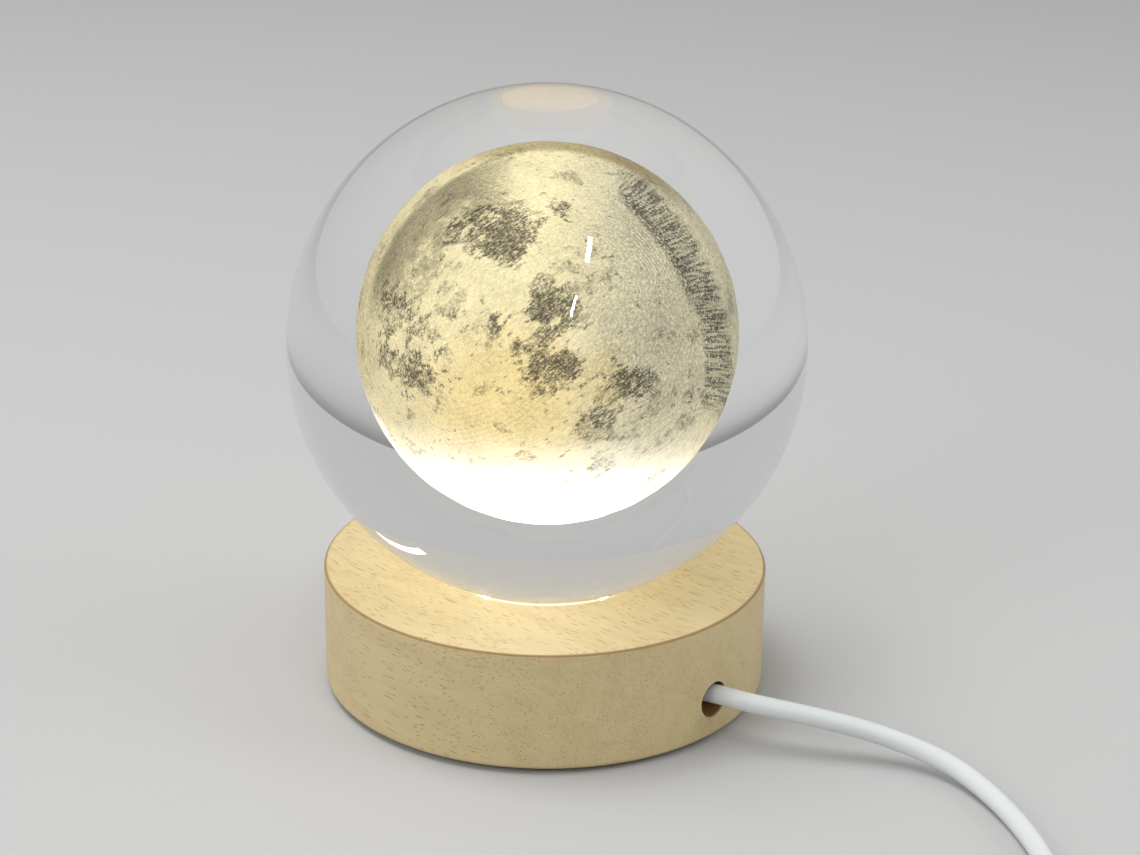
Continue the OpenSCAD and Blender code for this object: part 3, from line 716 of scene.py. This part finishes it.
def streaksOf(tree, shown, k):
    # at the right a dark line runs inside the edge, with streaks pointing outwards from it
    away, around = polar(tree, shown)
    middle, span, much = k["lineBend"]
    bend = compute(tree, "MULTIPLY_ADD", around, 1 / span, -middle / span)
    line = compute(tree, "MULTIPLY_ADD", share(tree, bend, bend), -much, -k["lineAt"])
    past = compute(tree, "ADD", away, line)
    reachOut, fan = polar(tree, shown, *k["fanFrom"])
    across, along = k["hatch"]
    hatch = addNode(tree, "ShaderNodeCombineXYZ", {
        0: share(tree, fan, across), 1: share(tree, reachOut, along)}).outputs[0]
    hatch = step(tree, noiseOf(tree, hatch, 1.0, 2, 0.6), *k["hatchEdge"])
    fine, much, least = k["length"]
    ends = addNode(tree, "ShaderNodeCombineXYZ", {0: share(tree, fan, fine)}).outputs[0]
    ends = compute(tree, "MULTIPLY_ADD", noiseOf(tree, ends, 1.0, 1), much, least)
    zone = share(tree, step(tree, past, *k["start"]),
                 step(tree, compute(tree, "SUBTRACT", past, ends), *k["end"]),
                 window(tree, around, *k["round"]))
    dark = share(tree, window(tree, past, *k["lineAway"]), window(tree, around, *k["lineRound"]),
                 k["lineAmount"])
    rings = share(tree, waves(tree, away, k["ringWidth"]), window(tree, away, *k["ringAway"]),
                  window(tree, around, *k["ringRound"]), k["ringAmount"])
    return total(tree, share(tree, zone, hatch, k["hatchAmount"]), share(tree, zone, k["between"]),
                 dark, rings)


def toneOf(tree, shown, near, topEdge, m):
    # cream, greyer to the right, warm low down, and brown at the top edge
    across = parts(tree, shown)["X"]
    tone = blendColours(tree, share(tree, step(tree, across, *m["greyAcross"]), near),
                        m["cream"], m["grey"])
    warmth = []
    for middle, edge, amount in (m["warmLeft"], m["warmRight"]):
        away, _ = polar(tree, shown, *middle)
        warmth.append(share(tree, step(tree, away, *edge), amount))
    tone = blendColours(tree, compute(tree, "MAXIMUM", *warmth), tone, m["warm"])
    return blendColours(tree, share(tree, topEdge, m["brownAmount"]), tone, m["brown"])


def whiteOf(tree, shown, face, m):
    # lamplight from below turns the lowest part white, and catches the edge low on the left
    turn, rise = [math.radians(a) for a in m["brightest"]]
    towards = (math.sin(turn) * math.cos(rise), -math.cos(turn) * math.cos(rise), math.sin(rise))
    below = addNode(tree, "ShaderNodeVectorMath", {0: face, 1: towards}, operation="DOT_PRODUCT")
    below = compute(tree, "SUBTRACT", below.outputs["Value"], m["whitenFrom"])
    below = compute(tree, "MAXIMUM", below, 0.0)
    away, _ = polar(tree, shown)
    _, fromLeft = polar(tree, shown, mirrored=True)
    edge, about, amount = m["litEdge"]
    litEdge = share(tree, window(tree, away, *edge), window(tree, fromLeft, *about), amount)
    return total(tree, share(tree, below, below, m["whiten"]), litEdge)


def moonMaterial(m):
    material, tree, shader = newMaterial("engravedMarks", m["cream"], 0.9)
    shader.inputs["Specular IOR Level"].default_value = 0.1
    sea = addNode(tree, "ShaderNodeAttribute", attribute_name="seaThickness").outputs["Fac"]
    shown = addNode(tree, "ShaderNodeAttribute", attribute_name="shownAt").outputs["Vector"]
    face = placed(tree, m["centre"], m["turn"], [m["radius"]] * 3)
    away, around = polar(tree, shown)
    near = step(tree, away, *haze["nearSide"])
    topEdge = share(tree, window(tree, away, *haze["edge"]), window(tree, around, *haze["topRound"]))

    # how thick the marks lie: light falls off with it
    fine = grainOf(tree, face, grain)
    thin = hazeOf(tree, shown, face, near, topEdge, haze)
    dark = total(tree, groundOf(tree, sea, face, ground), streaksOf(tree, shown, streaks))
    spread = m["grainSpread"]
    for value, (low, high, amount) in ((thin, m["grainInHaze"]), (dark, m["grainInGround"])):
        spread = compute(tree, "ADD", share(tree, step(tree, value, low, high), amount), spread)
    thick = total(tree, thin, dark, share(tree, fine, spread))
    thick = compute(tree, "MAXIMUM", thick, m["thinnest"])
    passed = compute(tree, "EXPONENT", share(tree, thick, -1))

    colour = scaled(tree, toneOf(tree, shown, near, topEdge, m), passed)
    tree.links.new(scaled(tree, colour, m["ownColour"]), shader.inputs["Base Color"])
    held = compute(tree, "EXPONENT", share(tree, thick, -m["whiteThrough"]))
    white = scaled(tree, m["white"], share(tree, whiteOf(tree, shown, face, m), held))
    # painted lamplight: the glow and the white light from below are painted in as emission
    paintedLamplight = addNode(tree, "ShaderNodeVectorMath", {
        0: scaled(tree, colour, m["glow"]), 1: white}, operation="ADD").outputs[0]
    tree.links.new(paintedLamplight, shader.inputs["Emission Color"])
    shader.inputs["Emission Strength"].default_value = 1.0
    roughen(tree, shader, fine, *m["grainBump"])
    return material


def makeMoon(m):
    marks = moonMaterial(m)
    grown = grownMesh("moonSurface", moonMesh(m), reliefTree(), {
        "Height": m["relief"], "Crater Scale": m["craterScale"], "Surface": marks})
    grown.shade_smooth()
    meshPiece("engraved_moon", grown, "ball", marks, ["moon_engraving"])


makeMoon(moon)
print("moon made")


# ---- wood ----

woodLow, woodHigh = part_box("wood_base")
woodRadius = (woodHigh.x - woodLow.x) / 2
wood = {
    "pale": (0.66, 0.545, 0.31),
    "warm": (0.55, 0.425, 0.21),
    "pore": (0.31, 0.17, 0.06),
    "rim": (0.26, 0.14, 0.05),
    # painted shade inside the cord hole
    "holeShade": (0.33, 0.175, 0.07),
    "roughness": 0.46,
    "grainTurn": -41,                 # along the grain, in degrees from +X
    "grainDip": 5,
    "sway": (45.0, 0.005),            # how fine and how far the grain wanders
    # how far drawn out along the grain, and how fine
    "bands": (9, 380),
    "fibres": (22, 3400),
    "pores": (17, 3200.0),
    "crowds": (2, 170),
    "bandEdge": (0.36, 0.68),
    "bandAmount": 0.55,
    "fibreTone": (0.9, -0.22),        # contrast and shift
    "poreEdge": (0.33, 0.14),
    "poresKept": (0.18, 0.32),
    "crowding": 1.4,
    "poreAmount": 0.78,
    "turning": (30, 5200),            # marks round the side: how drawn out, and how fine
    "turningAmount": 0.34,
    "sideIn": (0.0006, 0.0002),       # how far inside the outline the side's look starts
    "rimDown": (0.00034, 0.00018),    # how far below the top the brown line starts
    "rimAmount": 0.8,
    "hole": (-42, 0.0070, 0.0031),    # angle, height and radius of the cord hole
    "holeSoft": 0.0001,
    "holeFrom": (0.0200, 0.0210),     # how far out the bare wood of the hole starts
    "holeIn": (0.00015, 0.0004),      # and how far inside the outline it ends
    "fibreHeight": 0.2,
    "turningHeight": 0.25,
    "bump": (0.00005, 0.6),
}


def woodMaterial(w):
    material, tree, shader = newMaterial("paleWood", w["pale"], w["roughness"])
    plain = placed(tree)
    fine, far = w["sway"]
    sway = addNode(tree, "ShaderNodeTexNoise", {"Vector": plain, "Scale": fine}).outputs["Color"]
    wavy = addNode(tree, "ShaderNodeVectorMath", {0: plain, 1: scaled(tree, sway, far)},
                   operation="ADD").outputs[0]
    turn = (0, w["grainDip"], w["grainTurn"])

    def along(length):
        return placed(tree, turn=turn, stretch=(length, 1, 1), source=wavy)

    # growth bands, faint and wide, then fine fibres
    drawnOut, fine = w["bands"]
    bands = step(tree, noiseOf(tree, along(drawnOut), fine, 4, 0.6), *w["bandEdge"])
    tone = blendColours(tree, share(tree, bands, w["bandAmount"]), w["pale"], w["warm"])
    drawnOut, fine = w["fibres"]
    fibres = noiseOf(tree, along(drawnOut), fine, 3, 0.7)
    tone = blendColours(tree, compute(tree, "MULTIPLY_ADD", fibres, *w["fibreTone"]), tone, w["warm"])
    # open pores: dashes on the top, dots where the grain runs out at the side
    drawnOut, fine = w["pores"]
    holes = addNode(tree, "ShaderNodeTexVoronoi", {"Vector": along(drawnOut), "Scale": fine})
    chosen = parts(tree, holes.outputs["Color"])["X"]
    drawnOut, fine = w["crowds"]
    crowd = centred(tree, noiseOf(tree, along(drawnOut), fine, 2), w["crowding"])
    kept = step(tree, total(tree, chosen, crowd), *w["poresKept"])
    pore = share(tree, step(tree, holes.outputs["Distance"], *w["poreEdge"]), kept)
    tone = blendColours(tree, share(tree, pore, w["poreAmount"]), tone, w["pore"])
    # fine turning marks round the side
    level = addNode(tree, "ShaderNodeVectorMath", {0: plain, 1: (1, 1, 0)}, operation="MULTIPLY")
    fromAxis = addNode(tree, "ShaderNodeVectorMath", {0: level.outputs[0]}, operation="LENGTH")
    fromAxis = fromAxis.outputs["Value"]
    onSide = step(tree, fromAxis, *(woodRadius - d for d in w["sideIn"]))
    drawnOut, fine = w["turning"]
    turned = noiseOf(tree, placed(tree, stretch=(drawnOut, drawnOut, 1)), fine, 2)
    turned = share(tree, turned, onSide)
    tone = blendColours(tree, share(tree, turned, w["turningAmount"]), tone, w["warm"])
    # a thin brown line round the top edge
    height = parts(tree, plain)["Z"]
    rim = share(tree, step(tree, height, *(woodHigh.z - d for d in w["rimDown"])), onSide)
    tone = blendColours(tree, share(tree, rim, w["rimAmount"]), tone, w["rim"])
    # painted shade: inside the cord hole the wood is painted darker brown
    angle, up, radius = w["hole"]
    inLine = parts(tree, placed(tree, (0, 0, up), (0, 0, angle)))
    fromHole = compute(tree, "SQRT", total(
        tree, compute(tree, "POWER", inLine["Y"], 2), compute(tree, "POWER", inLine["Z"], 2)))
    soft = w["holeSoft"]
    inHole = share(tree, step(tree, fromHole, radius + soft, radius - soft),
                   step(tree, inLine["X"], *w["holeFrom"]),
                   step(tree, fromAxis, *(woodRadius - d for d in w["holeIn"])))
    tone = blendColours(tree, inHole, tone, w["holeShade"])
    tree.links.new(tone, shader.inputs["Base Color"])
    raised = total(tree, share(tree, fibres, w["fibreHeight"]), share(tree, turned, w["turningHeight"]))
    roughen(tree, shader, compute(tree, "SUBTRACT", raised, pore), *w["bump"])
    return material


dress("wood_base", woodMaterial(wood))
print("wood made")


# ---- light board, switch and plug ----

light = {
    "glow": (1.0, 0.80, 0.42),
    "strength": 320.0,
    "colour": (1.0, 0.82, 0.3),
    "bright": (1.0, 0.84, 0.34),
    "dull": (0.9, 0.66, 0.2),
    "roughness": 0.4,
    "grainScale": 3000,
}
strapLook = {
    "colour": (0.03, 0.03, 0.033),
    "worn": (0.075, 0.075, 0.08),
    "roughness": 0.9,
    "sheen": 0.25,
    "yarn": 0.0005,                   # from one yarn to the next
    "fuzzScale": 5200,
    "wornFrom": (0.1, 0.8),
    "bump": (0.00012, 0.8),
}
spring = {
    "wire": 0.0004,
    "turns": 2,
    "perTurn": 40,
    "foot": 0.006,                    # height of the end that stays put
    "colour": (0.6, 0.61, 0.63),
    "roughness": 0.28,
    "joint": "button_press",
}
plainGrain = 2600
plastics = {
    # colour, roughness, depth and scale of the grain, and the solids it covers
    "boardMask": ((0.84, 0.84, 0.82), 0.40, 0.00002, plainGrain, ["light_board"]),
    "chipPackage": ((0.86, 0.85, 0.80), 0.35, 0.0, plainGrain, ["light_chips"]),
    "resistorCeramic": ((0.03, 0.03, 0.034), 0.50, 0.00002, plainGrain, ["resistors"]),
    "redInsulation": ((0.5, 0.03, 0.025), 0.38, 0.0, plainGrain, ["red_wire"]),
    "blackInsulation": ((0.022, 0.022, 0.024), 0.38, 0.0, plainGrain, ["black_wire"]),
    "switchWire": ((0.5, 0.03, 0.025), 0.38, 0.0, plainGrain, ["switch_wires"]),
    "nylon": ((0.80, 0.80, 0.76), 0.50, 0.00003, plainGrain, ["cord_clip"]),
    "coverPlastic": ((0.035, 0.035, 0.038), 0.55, 0.00006, 1800, ["cover_plate"]),
    "padRubber": ((0.045, 0.045, 0.048), 0.85, 0.00008, 1500, ["foot_pads"]),
    "caseWhite": ((0.80, 0.80, 0.78), 0.34, 0.00002, plainGrain,
                  ["switch_bottom", "switch_top", "plug_body", "plug_relief"]),
    "buttonWhite": ((0.84, 0.84, 0.83), 0.28, 0.0, plainGrain, ["switch_button"]),
    "tongueWhite": ((0.84, 0.84, 0.83), 0.40, 0.0, plainGrain, ["plug_tongue"]),
    "plungerBlack": ((0.03, 0.03, 0.033), 0.45, 0.0, plainGrain, ["switch_plunger"]),
    "blockBlack": ((0.03, 0.03, 0.033), 0.50, 0.0, plainGrain, ["switch_block"]),
    "boardGreen": ((0.035, 0.13, 0.05), 0.40, 0.0, plainGrain, ["switch_board"]),
}
metals = {
    # colour, roughness, how far the scratches are drawn out, and the solids it covers
    "solderMetal": ((0.62, 0.62, 0.64), 0.30, (1, 1, 1), ["soldered_joints"]),
    "screwSteel": ((0.58, 0.59, 0.61), 0.32, (1, 1, 1),
                   ["board_screws", "cover_screws", "switch_screws"]),
    "platedSheet": ((0.72, 0.72, 0.73), 0.20, (8, 1, 1), ["plug_shell"]),
    "goldPlate": ((0.85, 0.6, 0.22), 0.25, (1, 1, 1), ["plug_contacts"]),
}


def wovenMaterial(w):
    # yarns that pass over and under each other, with loose fibres on top
    material, tree, shader = newMaterial("strapFabric", w["colour"], w["roughness"])
    place = parts(tree, placed(tree, stretch=[w["yarn"] / math.pi] * 3))
    rise = compute(tree, "SINE", compute(tree, "ADD", place["Y"], place["Z"]))
    over = share(tree, compute(tree, "SINE", place["X"]), rise)
    fuzz = noiseOf(tree, placed(tree), w["fuzzScale"], 3, 0.7)
    height = total(tree, share(tree, over, 0.5), share(tree, fuzz, 0.5))
    tree.links.new(blendColours(tree, step(tree, height, *w["wornFrom"]), w["colour"], w["worn"]),
                   shader.inputs["Base Color"])
    shader.inputs["Sheen Weight"].default_value = w["sheen"]
    roughen(tree, shader, height, *w["bump"])
    return material


def makeSpring(s):
    # round wire wound between the block and the button
    low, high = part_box("switch_spring")
    middle, half = (low + high) / 2, s["wire"] / 2
    radius = (high.x - low.x) / 2 - half
    data = bpy.data.curves.new("springWire", "CURVE")
    data.dimensions = "3D"
    data.bevel_depth = half
    data.bevel_resolution = 3
    data.use_fill_caps = True
    line = data.splines.new("POLY")
    steps = s["turns"] * s["perTurn"]
    line.points.add(steps)
    for i, point in enumerate(line.points):
        turn = 2 * math.pi * i / s["perTurn"]
        rise = low.z + half + (high.z - low.z - s["wire"]) * i / steps
        point.co = (middle.x + radius * math.cos(turn), middle.y + radius * math.sin(turn), rise, 1)
    line.use_smooth = True
    carrier = bpy.data.objects.new("springWire", data)
    bpy.context.collection.objects.link(carrier)
    view = bpy.context.evaluated_depsgraph_get()
    mesh = bpy.data.meshes.new_from_object(carrier.evaluated_get(view))
    bpy.data.objects.remove(carrier)
    steel = metalMaterial("springSteel", s["colour"], s["roughness"])
    piece = meshPiece("button_spring", mesh, "base", steel, ["switch_spring"])
    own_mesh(piece)


def phosphorMaterial(p):
    material, tree, shader = newMaterial("litPhosphor", p["colour"], p["roughness"])
    cloud = noiseOf(tree, placed(tree), p["grainScale"], 2)
    tree.links.new(blendColours(tree, cloud, p["bright"], p["dull"]), shader.inputs["Base Color"])
    shader.inputs["Emission Color"].default_value = (*p["glow"], 1)
    shader.inputs["Emission Strength"].default_value = p["strength"]
    return material


for name, (colour, roughness, depth, scale, solids) in plastics.items():
    material = plasticMaterial(name, colour, roughness, depth, grainScale=scale)
    for solid in solids:
        dress(solid, material)
for name, (colour, roughness, stretch, solids) in metals.items():
    material = metalMaterial(name, colour, roughness, stretch)
    for solid in solids:
        dress(solid, material)
dress("chip_phosphors", phosphorMaterial(light))
dress("coil_strap", wovenMaterial(strapLook))
makeSpring(spring)
print("small parts finished")


# ---- studio ----

studio = {
    "floor": (0.50, 0.50, 0.50),
    "floorRadius": 4.0,
    "aim": (0, 0, 0.05),
    "background": (0.50, 0.50, 0.50),
    "worldLight": 0.42,
    "lamps": [
        # place, size, watts
        ((-0.30, 0.10, 0.85), 0.55, 5.0),
        ((-0.60, -0.50, 0.45), 0.45, 2.2),
        ((0.70, -0.10, 0.40), 0.45, 1.6),
    ],
    "strips": [
        # two ends, width, watts: small bright lines on the ball
        ((0.173, -0.247, 0.615), (0.167, -0.358, 0.555), 0.020, 0.25),
        ((0.127, -0.481, 0.456), (0.103, -0.543, 0.378), 0.012, 0.12),
    ],
}


def addLamp(name, place, aim, watts):
    data = bpy.data.lights.new(name, "AREA")
    data.energy = watts
    lamp = bpy.data.objects.new(name, data)
    bpy.context.collection.objects.link(lamp)
    lamp.location = place
    lamp.rotation_euler = (aim - place).to_track_quat("-Z", "Y").to_euler()
    return lamp


def makeStudio(s):
    mesh = bpy.data.meshes.new("floor")
    shape = bmesh.new()
    bmesh.ops.create_circle(shape, cap_ends=True, radius=s["floorRadius"], segments=96)
    shape.to_mesh(mesh)
    shape.free()
    material, tree, shader = newMaterial("floorPaper", s["floor"], 0.9)
    shader.inputs["Specular IOR Level"].default_value = 0.1
    mesh.materials.append(material)
    floor = bpy.data.objects.new("floor", mesh)
    bpy.context.collection.objects.link(floor)
    world = bpy.data.worlds.new("studio")
    bpy.context.scene.world = world
    world.use_nodes = True
    tree = world.node_tree
    sky = tree.nodes["Background"]
    path = addNode(tree, "ShaderNodeLightPath").outputs
    seen = compute(tree, "MAXIMUM", path["Is Camera Ray"],
                   compute(tree, "MAXIMUM", path["Is Glossy Ray"], path["Is Transmission Ray"]))
    sky.inputs["Strength"].default_value = 1.0
    tree.links.new(blendColours(tree, seen, [s["worldLight"]] * 3, s["background"]), sky.inputs["Color"])
    middle = Vector(s["aim"])
    for number, (place, size, watts) in enumerate(s["lamps"]):
        lamp = addLamp(f"softbox{number}", Vector(place), middle, watts)
        lamp.data.shape = "SQUARE"
        lamp.data.size = size
        lamp.visible_glossy = False
        lamp.visible_transmission = False
    for number, (top, foot, width, watts) in enumerate(s["strips"]):
        top, foot = Vector(top), Vector(foot)
        lamp = addLamp(f"strip{number}", (top + foot) / 2, middle, watts)
        lamp.data.shape = "RECTANGLE"
        lamp.data.size = width
        lamp.data.size_y = (top - foot).length
        back = (lamp.location - middle).normalized()
        side = (top - foot).cross(back).normalized()
        turn = Matrix((side, back.cross(side), back)).transposed()
        lamp.rotation_euler = turn.to_euler()


makeStudio(studio)
bpy.context.scene.view_settings.view_transform = "Standard"
print("studio lit")
